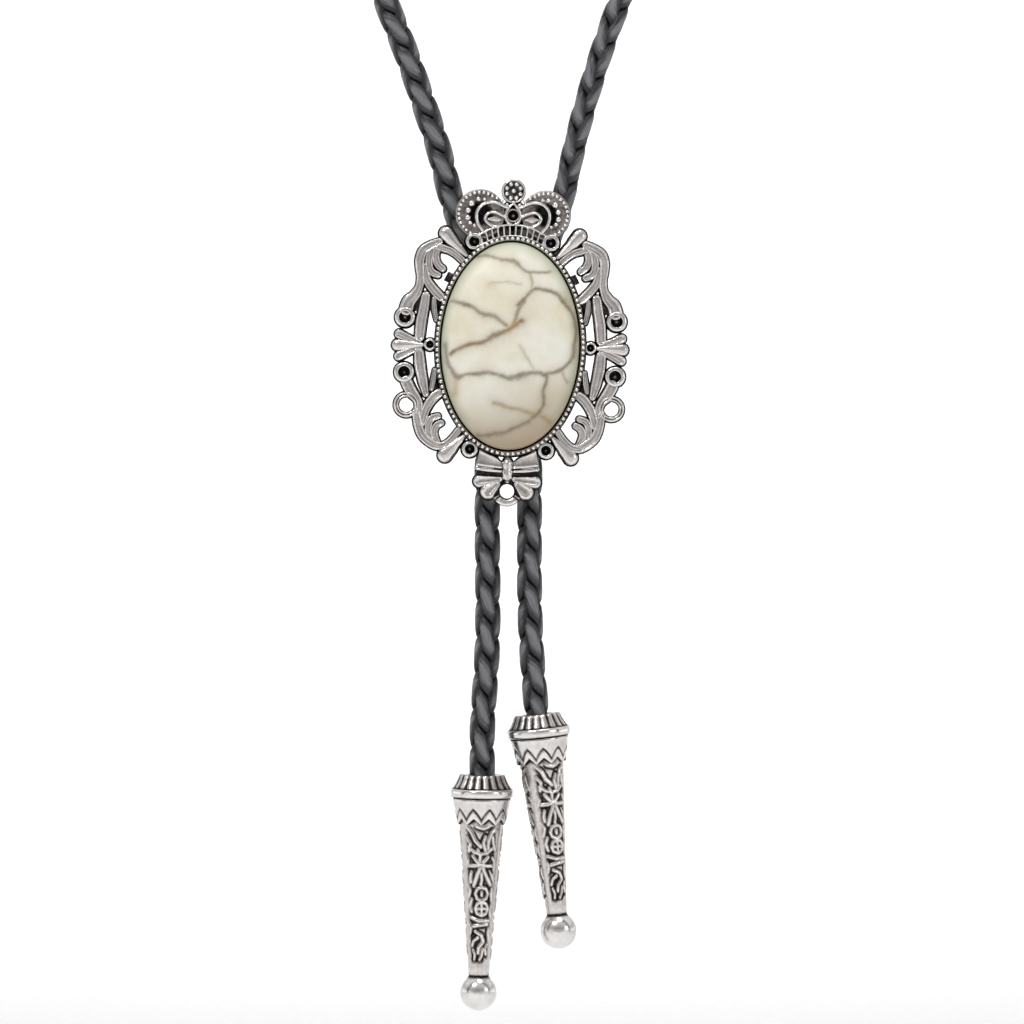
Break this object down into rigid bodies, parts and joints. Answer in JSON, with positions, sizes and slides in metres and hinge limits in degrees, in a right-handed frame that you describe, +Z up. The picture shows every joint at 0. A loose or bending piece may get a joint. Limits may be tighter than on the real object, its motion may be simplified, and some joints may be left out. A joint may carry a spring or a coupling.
{
  "type": "bolo tie",
  "caption": "Bolo tie: braided cord in a hanging loop, an oval cast openwork slide with a crown, scrolls and bow round a domed stone, and long metal tips.",
  "frame": {"origin": "inner side of the cord at the nape, on the object's middle plane, where the neck carries it", "axes": "+Z up, and -Y is the front, which the slide's stone faces; +X is to the right of someone looking at it"},
  "size_m": [0.1344, 0.1376, 0.3593],
  "materials": {
    "antique_silver": "cast and burnished antique silver with oxidised recesses",
    "howlite": "polished cream stone with tan and grey veins",
    "braided_leather": "round braided charcoal leather with a dull sheen"
  },
  "bodies": {
    "root": {"slide_frame": "antique_silver", "cabochon": "howlite", "back_clip": "antique_silver", "neck_loop": "braided_leather", "tail_left": "braided_leather", "tail_right": "braided_leather", "tip_left": "antique_silver", "tip_right": "antique_silver"}
  },
  "joints": []
}
